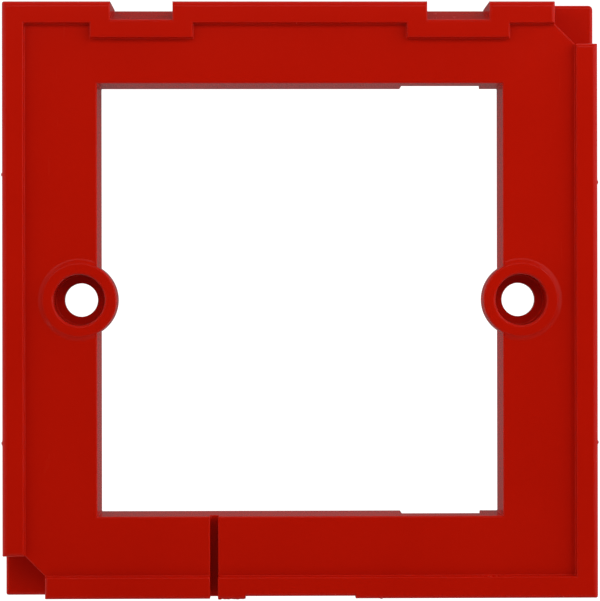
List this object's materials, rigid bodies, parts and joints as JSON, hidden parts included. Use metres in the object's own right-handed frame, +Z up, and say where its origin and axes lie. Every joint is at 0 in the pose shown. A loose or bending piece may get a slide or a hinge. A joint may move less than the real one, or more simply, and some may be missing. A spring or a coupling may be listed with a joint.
{
  "type": "manual call point mounting frame",
  "caption": "Square red moulded frame that holds a manual call point on a wall back box, with a raised rim, a large central opening, side screw bosses and hook notches.",
  "frame": {"origin": "on the back plane, midway between the two screw axes, at the centre of the opening", "axes": "+X to the right as seen from the front, +Y into the wall (the front faces -Y), +Z up"},
  "size_m": [0.0814, 0.01, 0.0815],
  "materials": {
    "red_plastic": "gloss"
  },
  "bodies": {
    "root": {"mounting_frame": "red_plastic"}
  },
  "joints": []
}
